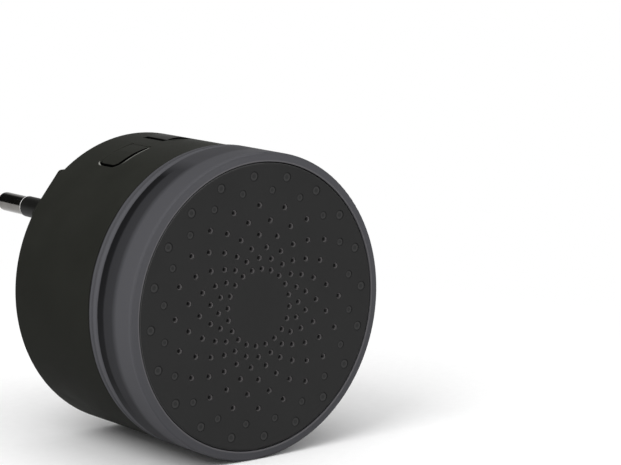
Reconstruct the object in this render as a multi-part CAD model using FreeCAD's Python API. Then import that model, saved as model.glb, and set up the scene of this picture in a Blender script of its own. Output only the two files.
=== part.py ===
import FreeCAD, Part
import math
import os

# A round door chime that hangs in a mains socket by its own two pins.
# Millimetres. The origin is on the plug face, midway between the pins; +Y points into the wall, +Z up.
# A depth is counted backwards from the front face. A radius and an angle are about the body's own axis,
# which lies below the pins; an angle is counted from the top, to the left as seen from the front.

Vector = FreeCAD.Vector

# Clearances
seat_gap = 0.1  # between pieces that rest on each other
slip_gap = 0.2  # between pieces that slide past each other
fit_gap = 0.03  # radial, round a screw or a pin in its hole
hinge_gap = 0.02  # where the key's root meets the shell
screw_reserve = 0.5  # bore left beyond a screw's point

# Loudspeaker
speaker_radius = 20.0
cloth_thick = 0.25
gasket_thick = 0.65
gasket_width = 2.6
flange_thick = 0.6
basket_depth = 6.4
basket_neck_radius = 9.4
basket_window_count = 6
basket_window_angle = 30.0
basket_window_radius = 2.6
terminal_width = 7.0
terminal_margin = 1.6  # beyond the middle of the wires' ends
surround_width = 1.4
surround_height = 0.5
surround_lip = 0.4
sheet_thick = 0.35  # surround, cone and dust cap
cone_neck_radius = 6.5
cone_depth = 3.7
cap_height = 1.7
cap_lap = 1.0  # the cap's rim outside the cone's neck
coil_radius = 6.7
coil_wall = 0.4
coil_length = 4.4
plate_radius = 10.5
plate_thick = 1.2
magnet_radius = 11.5
magnet_hole_radius = 8.2
magnet_thick = 4.0
yoke_chamfer = 0.3
pole_gap = 0.4

# Ring carrier
tube_play = 0.3  # round the loudspeaker
tube_wall = 1.0
chamber_wall = 1.0
lamp_channel = 2.0  # from the chamber's wall to the floor's edge
carrier_floor = 2.0
floor_setback = 0.4  # floor's back from the ring's back
web_count = 8
web_angle = 10.0
web_thick = 0.8
web_height = 3.6
ledge_thick = 1.0
ledge_reach = 1.3
hook_width = 7.0
hook_thick = 1.1
hook_length = 6.2
hook_nub = 0.5
hook_nub_length = 1.2
root_overlap = 0.3  # how far webs and hooks reach into what carries them

# Light ring
ring_depth = 14.6
ring_bevel_depth = 0.25
ring_corner_round = 0.45
ring_lip_round = 0.12  # the front rim's inner edge
ring_wall = 1.35
ring_rim_wall = 1.85  # the thick front rim, across
ring_rim_depth = 5.2  # and from the face
ring_foot_depth = 3.3  # the thick rear foot, which carries the two beads
ring_foot_wall = 2.3
bead_dip = 0.28
bead_front = 0.2

# Front grille
grille_thick = 1.6
grille_edge_thick = 2.2
grille_edge_round = 0.35
grille_boss_radius = 1.65
hole_radius = 0.64  # at the face, where each hole is countersunk
hole_throat_radius = 0.4
hole_sink_depth = 0.45
hole_count = 20  # in each ring of holes or dimples
hole_margin = 0.2  # the outermost holes' circle beyond the loudspeaker's radius
hole_rings = (  # step inwards from the outermost circle, angle of the first hole
    (0.0, 0.0), (3.0, 9.0), (5.8, 0.0), (8.3, 9.0), (10.35, 0.0), (12.55, 13.1),
)
dimple_rings = (  # step outwards from the same circle, angle, dimple's radius
    (2.9, 10.3, 0.75), (5.8, 3.1, 0.9),
)
dimple_depth = 0.1
spigot_wall = 0.8
spigot_depth = 3.0

# Screws
screw_radius = 1.1
screw_point_radius = 0.45
screw_head_radius = 2.0
screw_head_thick = 1.5
screw_head_edge = 0.7
front_screw_length = 9.0
cover_screw_length = 6.5
board_screw_length = 5.0
screw_count = 4  # in the board and in the cover
recess_width = 0.5
recess_length = 2.4
recess_depth = 0.7

# Light board and lamps
led_board_thick = 1.0
led_width = 2.0
led_across = 1.2
led_deep = 1.6

# Body shell
ring_proud = 0.3  # the light ring stands out from the shell
shell_wall = 2.0
shell_draft = 0.1  # the shell narrows by this towards the wall
front_chamfer = 0.25
rear_round = 0.5
rim_lip = 0.2  # the rim stands behind the rear cover

# Main board and its posts
board_room = 9.55  # from the loudspeaker's back
board_thick = 1.6
board_play = 1.8
post_length = 11.2
post_radius = 2.5
post_web = 3.0  # the web between a post and the shell
post_angle = 45.0
post_inset = 1.6  # post's middle inside the board's edge

# Rear cover and plug
cover_thick = 2.5
sink_floor = 0.9  # cover left under a sunk screw head
boss_depth = 17.5  # rear rim to plug face, as deep as a recessed socket
boss_half_height = 8.8
boss_flat_half = 7.8  # half the width of the boss's flat top
boss_half_width = 14.9
boss_wall = 1.8
boss_face_wall = 2.5
boss_round = 0.9
boss_face_round = 0.5
pin_rise = 12.2  # pins above the body's axis
pin_spacing = 19.0
pin_radius = 2.0
pin_length = 19.0
sleeve_length = 9.0  # beyond the plug face
sleeve_radius = 2.2
pin_core_radius = 1.4
pin_tip_round = 1.7
pin_head_radius = 2.3
pin_head_thick = 1.0
pin_tail_radius = 1.1
pin_tail_length = 3.0
strap_width = 2.0
strap_thick = 0.4
strap_eye_wall = 0.9
strap_bend = 0.4

# Melody key, a tongue cut out of the shell, with the press switch under it
key_root_angle = 14.0
key_tip_angle = 30.4
key_height = 2.5  # the key's middle behind the main board
key_width = 6.4
key_slot = 0.42
key_rise = 0.15  # the key's face above the shell
key_ramp = 1.6  # sideways shift of the surface that brings the face down to the shell at the root
slot_round = 0.2  # the shell's edge along the slot
key_corner = 1.3
key_thick = 1.4
relief_radius = 0.32
press_angle = 26.0  # where the key's stem meets the switch
stem_width = 2.2
stem_length = 2.2
press_play = 0.08  # between the stem and the plunger
press_travel = 0.3
tact_width = 4.6
tact_height = 3.4
plunger_radius = 1.0
plunger_reach = 1.0
plunger_root = 2.0  # length inside the switch

# Volume slide switch and its knob
window_width = 8.0  # along the rim
window_depth = 7.0
window_height = 4.1  # the window's middle behind the main board
window_angle = -1.5
slide_travel = 1.0  # each way from the middle
knob_end_rise = 0.05  # the crowned knob above the shell at its two ends
knob_crown = 0.35  # and in its middle
knob_flange_thick = 0.9
knob_flange_lap = 1.6
knob_play = 0.3  # between the flange and the inside of the shell
socket_wall = 0.8
lever_setback = 0.6  # the lever's middle in front of the window's
lever_width = 1.6
lever_deep = 1.4
lever_reach = 1.8
lever_root = 1.6  # length inside the switch
slide_width = 9.0
slide_height = 3.4
slide_back = 2.5  # the switch's body behind the lever's middle

# Parts on the main board: middles across and above the body's axis, sizes across, deep and high
chip_place = (-8.0, 6.5)
chip_size = (10.0, 2.3, 7.5)
chip_pin_pitch = 1.5
chip_pin_count = 6
chip_pin_size = (0.5, 0.3, 1.0)
module_height = -9.0  # the radio module's middle above the axis; the aerial wire bounds it outwards
module_size = (16.0, 1.0, 9.0)
can_shift = -2.0  # of its can, sideways
can_size = (8.0, 2.4, 7.0)
core_place = (0.0, -11.0)
core_size = (13.0, 9.6, 4.2)
core_limb = 1.9  # the middle limb is twice as thick
bobbin_high = 9.0
filter_cap_place = (15.0, -6.5)
filter_cap_radius = 4.0
storage_cap_place = (10.4, -15.6)
storage_cap_radius = 3.15
cap_length = 10.2
cap_groove = 1.5  # from the board
cap_groove_deep = 0.35
cap_groove_half = 0.5
cap_edge = 0.4
film_cap_place = (-15.5, -2.0)
film_cap_size = (5.0, 9.0, 10.0)
fuse_drop = 20.6
fuse_radius = 1.6
fuse_length = 8.0
fuse_lead_radius = 0.35
fuse_lead_bend = 0.8
wire_radius = 0.5
wire_gap = 0.6  # from the wires to what they pass
wire_bend = 2.0
wire_spread = 4.0  # between the loudspeaker's two wires
wire_step = 2.2  # how far they step outwards on their way to the board
wire_tail = 5.0
antenna_length = 82.0
antenna_angle = 112.0
link_angle = 100.0
link_pitch = 2.0
link_count = 3
link_width = 0.6
link_bar_deep = 2.6

# Derived radii, from the loudspeaker outwards
tube_radius = speaker_radius + tube_play
tube_outer = tube_radius + tube_wall
boss_circle = tube_outer + slip_gap + grille_boss_radius
flange_inner = boss_circle + grille_boss_radius + slip_gap
chamber_outer = flange_inner + chamber_wall
floor_radius = chamber_outer + lamp_channel
foot_inner = floor_radius + slip_gap
ring_radius = foot_inner + ring_foot_wall
ring_inner = ring_radius - ring_wall
grille_pocket = ring_radius - ring_rim_wall
grille_radius = grille_pocket - slip_gap
outer_hole_circle = speaker_radius + hole_margin
led_circle = chamber_outer + slip_gap + led_across / 2
hook_outer = floor_radius
hook_inner = hook_outer - hook_thick
body_radius = ring_radius - ring_proud
rear_radius = body_radius - shell_draft
cone_radius = speaker_radius - gasket_width - surround_width - surround_lip - 2 * slip_gap
surround_outer = speaker_radius - gasket_width / 3
terminal_middle = magnet_radius + wire_gap + wire_radius
board_radius = rear_radius - shell_wall - board_play
post_circle = board_radius - post_inset
antenna_circle = post_circle - screw_head_radius - wire_gap - wire_radius
module_corner = antenna_circle - wire_radius - wire_gap

# Derived depths, from the front face backwards
cloth_front = grille_thick + seat_gap / 2
cloth_back = cloth_front + cloth_thick
gasket_front = cloth_back + seat_gap / 2
surround_front = gasket_front + gasket_thick + seat_gap / 2
speaker_front = surround_front + sheet_thick
neck_depth = surround_front + cone_depth
basket_back = speaker_front + basket_depth
plate_back = basket_back + plate_thick
magnet_back = plate_back + magnet_thick
speaker_back = magnet_back + seat_gap / 2 + plate_thick
ledge_front = speaker_front + flange_thick + seat_gap / 2
flange_front = grille_edge_thick + seat_gap
chamber_front = ring_rim_depth + seat_gap
foot_front = ring_depth - ring_foot_depth
shell_front = ring_depth + seat_gap / 2
floor_back = ring_depth - floor_setback
floor_front = floor_back - carrier_floor
hook_back = floor_back + hook_length
led_board_front = floor_back + seat_gap
led_board_back = led_board_front + led_board_thick
led_screw_depth = led_board_back + seat_gap / 2
board_front = speaker_back + board_room
board_back = board_front + board_thick
mount_back = board_back + seat_gap / 2  # where parts stand on the board's rear side
mount_front = board_front - seat_gap / 2  # and on its front side
cover_front = board_back + post_length + seat_gap
cover_back = cover_front + cover_thick
sink_depth = cover_front + sink_floor + seat_gap / 2
body_depth = cover_back + rim_lip
face_depth = body_depth + boss_depth
key_middle = board_back + key_height
key_front = key_middle - key_width / 2
key_back = key_middle + key_width / 2
window_middle = board_back + window_height
window_front = window_middle - window_depth / 2
window_back = window_middle + window_depth / 2
lever_middle = window_middle - lever_setback

# Derived angles and places
web_spacing = 360.0 / web_count
led_angle = web_angle + web_spacing / 2
hook_count = web_count // 2  # hooks and front screws take turns at the webs
hook_angle = web_angle
front_screw_angle = web_angle + web_spacing
module_drop = module_size[2] / 2 - module_height
module_place = (math.sqrt(module_corner ** 2 - module_drop ** 2) - module_size[0] / 2, module_height)
can_place = (module_place[0] + can_shift, module_height)
front_y = -face_depth
axis_z = -pin_rise
pin_x = pin_spacing / 2
plunger_top = rear_radius - key_thick - stem_length
tact_top = plunger_top - plunger_reach
plunger_low = tact_top - plunger_root
knob_inside = rear_radius - shell_wall - knob_play
lever_top = knob_inside - knob_flange_thick - seat_gap
switch_top = lever_top - lever_reach


def shell_radius(depth):
    # Outside radius of the drafted shell at a depth.
    share = (depth - shell_front) / (body_depth - shell_front)
    return body_radius - shell_draft * share


def turn(shape, angle):
    # Turns a shape from the top of the body to an angle.
    turned_shape = shape.copy()
    turned_shape.rotate(Vector(0, 0, axis_z), Vector(0, 1, 0), -angle)
    return turned_shape


def around(shape, count, first=0.0):
    # Copies of a shape at equal steps about the body's axis.
    return [turn(shape, first + step * 360.0 / count) for step in range(count)]


def quarter(start, corner, end):
    # The arc that rounds a square corner, as an entry of an outline.
    pairs = zip(start, corner, end)
    middle = tuple(s + e - c + (2 * c - s - e) * math.sqrt(0.5) for s, c, e in pairs)
    return middle, end


def dome(radius, height):
    # The arc over a shallow dome whose rim has this radius: (radius, drop) half way down from its top.
    sphere = (radius * radius + height * height) / (2 * height)
    half = math.asin(radius / sphere) / 2
    return sphere * math.sin(half), sphere * (1 - math.cos(half))


def outline_face(outline, place):
    # A flat face. Each entry is a corner, or an arc as (point on the arc, corner at its end).
    edges = []
    start = last = place(*outline[0])
    for entry in outline[1:]:
        if isinstance(entry[0], tuple):
            end = place(*entry[1])
            edges.append(Part.Arc(last, place(*entry[0]), end).toShape())
        else:
            end = place(*entry)
            edges.append(Part.LineSegment(last, end).toShape())
        last = end
    edges.append(Part.LineSegment(last, start).toShape())
    return Part.Face(Part.Wire(edges))


def lathe(outline, x=0.0, z=axis_z):
    # A solid turned about an axis along the depth. A corner is (radius, depth).
    face = outline_face(outline, lambda radius, depth: Vector(x + radius, front_y + depth, z))
    return face.revolve(Vector(x, 0, z), Vector(0, 1, 0), 360)


def tube(inner, outer, front, back):
    return lathe([(inner, front), (outer, front), (outer, back), (inner, back)])


def block(width, low, high, front, back, angle=0.0, shift=0.0):
    # A box across a radius: width along the rim, low to high outwards, front to back in depth.
    corner = Vector(shift - width / 2, front_y + front, axis_z + low)
    return turn(Part.makeBox(width, back - front, high - low, corner), angle)


def rod(radius, front, back, circle=0.0, angle=0.0):
    # A cylinder along the depth at a polar place.
    base = Vector(0, front_y + front, axis_z + circle)
    return turn(Part.makeCylinder(radius, back - front, base, Vector(0, 1, 0)), angle)


def spoke(radius, low, high, depth, angle):
    # A cylinder along a radius.
    base = Vector(0, front_y + depth, axis_z + low)
    return turn(Part.makeCylinder(radius, high - low, base, Vector(0, 0, 1)), angle)


def upright(place, size, front):
    # A box on a board: place is its middle across and above the axis, size is across, deep and high.
    corner = Vector(place[0] - size[0] / 2, front_y + front, axis_z + place[1] - size[2] / 2)
    return Part.makeBox(*size, corner)


def pin_rod(radius, front, back, side):
    # A cylinder about one of the pins.
    base = Vector(side * pin_x, front_y + front, 0)
    return Part.makeCylinder(radius, back - front, base, Vector(0, 1, 0))


def bent_wire(points, radius, bend):
    # A round wire along straight runs joined by tangent arcs.
    places = [Vector(*point) for point in points]
    edges = []
    last = places[0]
    for before, corner, after in zip(places, places[1:], places[2:]):
        inward = (corner - before).normalize()
        outward = (after - corner).normalize()
        half_turn = inward.getAngle(outward) / 2
        reach = bend * math.tan(half_turn)
        start = corner - inward * reach
        end = corner + outward * reach
        towards = (outward - inward).normalize()
        middle = corner + towards * (bend / math.cos(half_turn) - bend)
        edges.append(Part.LineSegment(last, start).toShape())
        edges.append(Part.Arc(start, middle, end).toShape())
        last = end
    edges.append(Part.LineSegment(last, places[-1]).toShape())
    section = Part.makeCircle(radius, places[0], places[1] - places[0])
    return Part.Wire(edges).makePipeShell([Part.Wire(section)], True, False)


def screws(head_depth, length, way, circle, count, angle, recessed=False):
    # Pan-head screws on a circle. The shank starts at head_depth; way is 1 backwards, -1 forwards.
    def at(radius, along):
        return radius, head_depth + way * along

    shoulder_radius, drop = dome(screw_head_radius, screw_head_thick - screw_head_edge)
    solid = lathe([
        at(0, length),
        at(screw_point_radius, length),
        at(screw_radius, length - screw_radius),
        at(screw_radius, 0),
        at(screw_head_radius, 0),
        at(screw_head_radius, -screw_head_edge),
        (at(shoulder_radius, drop - screw_head_thick), at(0, -screw_head_thick)),
    ], 0, axis_z + circle)
    if recessed:
        depths = sorted([at(0, recess_depth - screw_head_thick)[1], at(0, -2 * screw_head_thick)[1]])
        half = recess_length / 2
        across = block(recess_length, circle - recess_width / 2, circle + recess_width / 2, *depths)
        upwards = block(recess_width, circle - half, circle + half, *depths)
        solid = solid.cut(across.fuse(upwards))
    return Part.makeCompound(around(solid, count, angle))


def key_prism(margin, root_angle):
    # The key's outline, wider by a margin, as a prism along the radius through the key's middle.
    middle_angle = (key_root_angle + key_tip_angle) / 2
    radius = shell_radius(key_middle)
    root = radius * math.sin(math.radians(root_angle - middle_angle))
    tip = radius * math.sin(math.radians(key_tip_angle - middle_angle)) + margin
    front = key_front + key_slot - margin
    back = key_back - key_slot + margin
    corner = key_corner + margin
    outline = [
        (root, front),
        (tip - corner, front),
        quarter((tip - corner, front), (tip, front), (tip, front + corner)),
        (tip, back - corner),
        quarter((tip, back - corner), (tip, back), (tip - corner, back)),
        (root, back),
    ]
    low = axis_z + radius - 3 * shell_wall
    face = outline_face(outline, lambda along, depth: Vector(-along, front_y + depth, low))
    return turn(face.extrude(Vector(0, 0, 5 * shell_wall)), middle_angle)


def boss_prism(inset, front, back):
    # The plug boss: a six-sided prism with its points to the left and right, about the pins' middle.
    slant = math.atan2(boss_half_height, boss_half_width - boss_flat_half)
    half_height = boss_half_height - inset
    flat_half = boss_flat_half - inset * math.tan(slant / 2)
    half_width = boss_half_width - inset / math.sin(slant)
    outline = [
        (-flat_half, half_height),
        (flat_half, half_height),
        (half_width, 0),
        (flat_half, -half_height),
        (-flat_half, -half_height),
        (-half_width, 0),
    ]
    face = outline_face(outline, lambda x, z: Vector(x, front_y + front, z))
    return face.extrude(Vector(0, back - front, 0))


def round_edges(shape, radius, wanted):
    return shape.makeFillet(radius, [edge for edge in shape.Edges if wanted(edge.BoundBox)])


def along_depth(box):
    return box.YLength > box.XLength + box.ZLength


def on_key_slot(box):
    # The shell's outer edges along the key's slot, but not the key's root.
    radius = math.hypot(box.XMax, box.ZMax - axis_z)
    angle = math.degrees(math.atan2(-box.Center.x, box.Center.z - axis_z))
    depth = box.Center.y - front_y
    outside = radius > rear_radius - seat_gap / 2
    beside = key_root_angle - 2 < angle < key_tip_angle + 2
    level = key_front - key_slot < depth < key_back + key_slot
    root = box.YLength > key_width / 2 and angle < key_root_angle + 1
    return outside and beside and level and not root


def make_main_housing():
    rear_corner = (rear_radius, body_depth)
    round_start = (rear_radius, body_depth - rear_round)
    shell = lathe([
        (body_radius - shell_wall, shell_front),
        (body_radius - front_chamfer, shell_front),
        (body_radius, shell_front + front_chamfer),
        round_start,
        quarter(round_start, rear_corner, (rear_radius - rear_round, body_depth)),
        (rear_radius - shell_wall, body_depth),
    ])
    groove_front = hook_back - hook_nub_length - slip_gap
    shell = shell.cut(tube(hook_inner, hook_outer + hook_nub + slip_gap, groove_front, hook_back + slip_gap))
    post_back = cover_front - seat_gap / 2
    board_bore = mount_front + board_screw_length + screw_reserve
    cover_bore = sink_depth - cover_screw_length - screw_reserve
    post = rod(post_radius, mount_back, post_back, post_circle)
    post = post.fuse(block(post_web, post_circle, rear_radius - shell_wall / 2, mount_back, post_back))
    post = post.cut(rod(screw_radius + fit_gap, mount_back, board_bore, post_circle))
    post = post.cut(rod(screw_radius + fit_gap, cover_bore, post_back, post_circle))
    shell = shell.fuse(around(post, screw_count, post_angle))
    shell = shell.cut(key_prism(key_slot, key_root_angle))
    for depth in (key_front + key_slot / 2, key_back - key_slot / 2):
        low = shell_radius(depth) - 2 * shell_wall
        shell = shell.cut(spoke(relief_radius, low, low + 3 * shell_wall, depth, key_root_angle))
    low = rear_radius - 2 * shell_wall
    window = block(window_width, low, body_radius + shell_wall, window_front, window_back, window_angle)
    return round_edges(shell.cut(window).removeSplitter(), slot_round, on_key_slot)


def make_melody_key():
    def wall(thick, rise):
        front = shell_radius(key_front) + rise
        back = shell_radius(key_back) + rise
        return lathe([
            (front - thick, key_front),
            (front, key_front),
            (back, key_back),
            (back - thick, key_back),
        ])

    root = math.radians(key_root_angle)
    ramp = wall(2 * key_thick, 0.0)
    ramp.translate(Vector(-key_ramp * math.cos(root), 0, -key_ramp * math.sin(root)))
    key = wall(key_thick + key_rise, key_rise).common(ramp)
    key = key.common(key_prism(0.0, key_root_angle + math.degrees(hinge_gap / body_radius)))
    stem_front = key_middle - stem_width / 2
    stem_top = rear_radius - key_thick / 2
    stem = block(stem_width, plunger_top + press_play, stem_top, stem_front, stem_front + stem_width,
                 press_angle)
    return key.fuse(stem).removeSplitter()


def make_tact_switch():
    back = 2 * key_middle - mount_back
    body = block(tact_width, tact_top - tact_height, tact_top, mount_back, back, press_angle)
    hole_low = plunger_low - press_travel - seat_gap
    return body.cut(spoke(plunger_radius + fit_gap, hole_low, tact_top, key_middle, press_angle))


def make_tact_plunger():
    return spoke(plunger_radius, plunger_low, plunger_top, key_middle, press_angle)


def make_slider_knob():
    plate_front = window_front + slip_gap
    plate_back = window_back - slip_gap
    plate_width = window_width - 2 * (slide_travel + slip_gap)
    plate_low = knob_inside - knob_flange_thick / 2
    shell_top = shell_radius(window_middle)
    half = plate_width / 2
    crown_top = shell_top + knob_crown
    crown = crown_top - math.sqrt(shell_top ** 2 - half ** 2) - knob_end_rise
    crown_radius = (half ** 2 + crown ** 2) / (2 * crown)
    plate = block(plate_width, plate_low, crown_top, plate_front, plate_back)
    plate = plate.common(rod(crown_radius, plate_front, plate_back, crown_top - crown_radius))
    flange_ends = (window_front - knob_flange_lap, window_back + knob_flange_lap)
    flange_width = window_width + 2 * (slide_travel + slip_gap)
    flange = tube(knob_inside - knob_flange_thick, knob_inside, *flange_ends)
    flange = flange.common(block(flange_width, 0, body_radius, *flange_ends))
    lever_ends = (lever_middle - lever_deep / 2, lever_middle + lever_deep / 2)
    socket_low = switch_top + slip_gap
    socket = block(lever_width + 2 * socket_wall, socket_low, plate_low,
                   lever_ends[0] - socket_wall, lever_ends[1] + socket_wall)
    pocket = block(lever_width + 2 * fit_gap, socket_low, lever_top + seat_gap,
                   lever_ends[0] - fit_gap, lever_ends[1] + fit_gap)
    knob = plate.fuse([flange, socket]).cut(pocket)
    return turn(knob.removeSplitter(), window_angle)


def make_slide_switch():
    body = block(slide_width, switch_top - slide_height, switch_top, mount_back, lever_middle + slide_back,
                 window_angle)
    slot_width = lever_width + 2 * (slide_travel + slip_gap)
    slot_half = lever_deep / 2 + seat_gap
    slot = block(slot_width, switch_top - lever_root - slip_gap, switch_top, lever_middle - slot_half,
                 lever_middle + slot_half, window_angle)
    return body.cut(slot)


def make_switch_lever():
    return block(lever_width, switch_top - lever_root, lever_top, lever_middle - lever_deep / 2,
                 lever_middle + lever_deep / 2, window_angle)


def make_light_ring():
    valley = ring_radius - bead_dip
    first = foot_front + bead_front
    bead = (ring_depth - first) / 2
    lip = (grille_pocket + ring_lip_round, 0)
    rim = (ring_radius - ring_corner_round, ring_bevel_depth)
    side = (ring_radius, ring_bevel_depth + ring_corner_round)
    return lathe([
        (grille_pocket, ring_lip_round),
        quarter((grille_pocket, ring_lip_round), (grille_pocket, 0), lip),
        rim,
        quarter(rim, (ring_radius, ring_bevel_depth), side),
        (ring_radius, foot_front),
        (valley, first),
        ((ring_radius, first + bead / 2), (valley + bead_dip / 3, first + bead)),
        ((ring_radius, first + bead * 1.5), (valley, ring_depth)),
        (foot_inner, ring_depth),
        (foot_inner, foot_front),
        (ring_inner, foot_front),
        (ring_inner, ring_rim_depth),
        (flange_inner, ring_rim_depth),
        (flange_inner, flange_front),
        (grille_pocket, flange_front),
    ])


def make_front_grille():
    edge_start = (grille_radius - grille_edge_round, 0)
    edge_end = (grille_radius, grille_edge_round)
    spigot_inner = tube_outer + slip_gap
    spigot_back = grille_edge_thick + spigot_depth
    plate = lathe([
        (0, 0),
        edge_start,
        quarter(edge_start, (grille_radius, 0), edge_end),
        (grille_radius, grille_edge_thick),
        (spigot_inner + spigot_wall, grille_edge_thick),
        (spigot_inner + spigot_wall, spigot_back),
        (spigot_inner, spigot_back),
        (spigot_inner, grille_thick),
        (0, grille_thick),
    ])
    boss_back = floor_front - seat_gap
    bore_front = led_screw_depth - front_screw_length - screw_reserve
    boss = rod(grille_boss_radius, grille_thick, boss_back, boss_circle)
    bore = rod(screw_radius + fit_gap, bore_front, boss_back, boss_circle)
    plate = plate.fuse(around(boss, hook_count, front_screw_angle))
    cuts = around(bore, hook_count, front_screw_angle)
    for step, first in hole_rings:
        hole = lathe([
            (0, 0),
            (hole_radius, 0),
            (hole_throat_radius, hole_sink_depth),
            (hole_throat_radius, grille_thick),
            (0, grille_thick),
        ], 0, axis_z + outer_hole_circle - step)
        cuts += around(hole, hole_count, first)
    for step, first, radius in dimple_rings:
        cuts += around(rod(radius, 0, dimple_depth, outer_hole_circle + step), hole_count, first)
    return plate.cut(Part.makeCompound(cuts))


def make_ring_carrier():
    ledge_back = ledge_front + ledge_thick
    ledge_radius = tube_radius - ledge_reach
    body = lathe([
        (tube_radius, gasket_front),
        (tube_outer, gasket_front),
        (tube_outer, floor_front),
        (flange_inner, floor_front),
        (flange_inner, chamber_front),
        (chamber_outer, chamber_front),
        (chamber_outer, floor_front),
        (floor_radius, floor_front),
        (floor_radius, floor_back),
        (tube_radius, floor_back),
        (tube_radius, ledge_back),
        (ledge_radius, ledge_back),
        (ledge_radius, ledge_front),
        (tube_radius, ledge_front),
    ])
    web = block(web_thick, chamber_outer - root_overlap, ring_inner - slip_gap, floor_front - web_height,
                floor_front + root_overlap)
    web = web.cut(tube(foot_inner - slip_gap, ring_radius, foot_front - slip_gap, ring_depth))
    hook_front = floor_back - root_overlap
    nub_front = hook_back - hook_nub_length
    hook = lathe([
        (hook_inner, hook_front),
        (hook_outer, hook_front),
        (hook_outer, nub_front),
        (hook_outer + hook_nub, nub_front),
        (hook_outer, hook_back),
        (hook_inner, hook_back),
    ])
    hook = hook.common(block(hook_width, 0, body_radius, hook_front, hook_back))
    body = body.fuse(around(web, web_count, web_angle) + around(hook, hook_count, hook_angle))
    half = led_across / 2 + seat_gap
    window = block(led_width + 2 * slip_gap, led_circle - half, led_circle + half, floor_front, floor_back)
    bore = rod(screw_radius + slip_gap, floor_front, floor_back, boss_circle)
    cuts = around(window, web_count, led_angle) + around(bore, hook_count, front_screw_angle)
    return body.cut(Part.makeCompound(cuts)).removeSplitter()


def make_led_board():
    board = tube(tube_outer + slip_gap, floor_radius - seat_gap, led_board_front, led_board_back)
    notch_width = hook_width + 2 * slip_gap
    notch = block(notch_width, hook_inner - 2 * slip_gap, body_radius, led_board_front, led_board_back)
    bore = rod(screw_radius + fit_gap, led_board_front, led_board_back, boss_circle)
    cuts = around(notch, hook_count, hook_angle) + around(bore, hook_count, front_screw_angle)
    return board.cut(Part.makeCompound(cuts))


def make_status_leds():
    back = led_board_front - seat_gap / 2
    half = led_across / 2
    lamp = block(led_width, led_circle - half, led_circle + half, back - led_deep, back)
    return Part.makeCompound(around(lamp, web_count, led_angle))


def make_speaker_frame():
    flange_back = speaker_front + flange_thick
    rim_inner = speaker_radius - gasket_width - slip_gap
    neck_hole = coil_radius + pole_gap
    frame = lathe([
        (rim_inner, speaker_front),
        (speaker_radius, speaker_front),
        (speaker_radius, flange_back),
        (rim_inner + flange_thick, flange_back),
        (basket_neck_radius + 2 * flange_thick, basket_back),
        (neck_hole, basket_back),
        (neck_hole, basket_back - flange_thick),
        (basket_neck_radius + flange_thick, basket_back - flange_thick),
        (rim_inner, flange_back),
    ])
    opening = rod(basket_window_radius, flange_back, basket_back, (basket_neck_radius + rim_inner) / 2)
    openings = around(opening, basket_window_count, basket_window_angle)
    terminal = block(terminal_width, basket_neck_radius, terminal_middle + terminal_margin,
                     basket_back - flange_thick, basket_back, 180.0)
    return frame.cut(Part.makeCompound(openings)).fuse(terminal).removeSplitter()


def make_speaker_surround():
    inner = cone_radius + slip_gap
    roll_inner = inner + surround_lip
    roll_outer = roll_inner + surround_width
    roll_middle = (roll_inner + roll_outer) / 2
    front = surround_front
    back = speaker_front - seat_gap / 2
    half_sheet = sheet_thick / 2
    return lathe([
        (inner, front),
        (roll_inner, front),
        ((roll_middle, front - surround_height), (roll_outer, front)),
        (surround_outer, front),
        (surround_outer, back),
        (roll_outer - half_sheet, back),
        ((roll_middle, back - surround_height), (roll_inner + half_sheet, back)),
        (inner, back),
    ])


def make_speaker_cone():
    rim_inner = cone_radius - surround_lip
    return lathe([
        (cone_radius, surround_front),
        (cone_radius, surround_front + sheet_thick),
        (rim_inner, surround_front + sheet_thick),
        (cone_neck_radius, neck_depth),
        (cone_neck_radius, neck_depth - sheet_thick),
        (rim_inner, surround_front),
    ])


def make_dust_cap():
    slope = (cone_depth - sheet_thick) / (cone_radius - surround_lip - cone_neck_radius)
    base = neck_depth - sheet_thick - cap_lap * slope - seat_gap / 2
    radius = cone_neck_radius + cap_lap
    inner = radius - sheet_thick
    inner_height = cap_height - sheet_thick
    outer_half = dome(radius, cap_height)
    inner_half = dome(inner, inner_height)
    return lathe([
        (0, base - cap_height),
        ((outer_half[0], base - cap_height + outer_half[1]), (radius, base)),
        (inner, base),
        ((inner_half[0], base - inner_height + inner_half[1]), (0, base - inner_height)),
    ])


def make_magnet_yoke():
    pole = coil_radius - coil_wall - pole_gap
    front = magnet_back + seat_gap / 2
    return lathe([
        (0, basket_back),
        (pole, basket_back),
        (pole, front),
        (plate_radius, front),
        (plate_radius, speaker_back - yoke_chamfer),
        (plate_radius - yoke_chamfer, speaker_back),
        (0, speaker_back),
    ])


def make_main_board():
    board = rod(board_radius, board_front, board_back)
    bore = rod(screw_radius + fit_gap, board_front, board_back, post_circle)
    return board.cut(Part.makeCompound(around(bore, screw_count, post_angle)))


def make_chip():
    deep, high = chip_size[1:]
    foot_across, foot_deep, foot_high = chip_pin_size
    legs = []
    for side in (-1, 1):
        edge = chip_place[1] + side * high / 2
        for step in range(chip_pin_count):
            x = chip_place[0] + (step - (chip_pin_count - 1) / 2) * chip_pin_pitch
            legs.append(upright((x, edge + side * foot_high / 2), chip_pin_size, mount_front - foot_deep))
            legs.append(upright((x, edge), (foot_across, deep / 2, 2 * foot_deep), mount_front - deep / 2))
    return upright(chip_place, chip_size, mount_front - deep).fuse(legs)


def make_radio_module():
    board = upright(module_place, module_size, mount_front - module_size[1])
    can = upright(can_place, can_size, mount_front - module_size[1] - can_size[1])
    return board.fuse(can)


def make_antenna_wire():
    y = front_y + mount_front - wire_radius

    def place(angle):
        turned_by = math.radians(antenna_angle + angle)
        x = -antenna_circle * math.sin(turned_by)
        return Vector(x, y, axis_z + antenna_circle * math.cos(turned_by))

    sweep = math.degrees(antenna_length / antenna_circle)
    path = Part.Arc(place(0), place(sweep / 2), place(sweep))
    section = Part.makeCircle(wire_radius, place(0), path.tangent(path.FirstParameter)[0])
    return Part.Wire(path.toShape()).makePipeShell([Part.Wire(section)], True, False)


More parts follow.
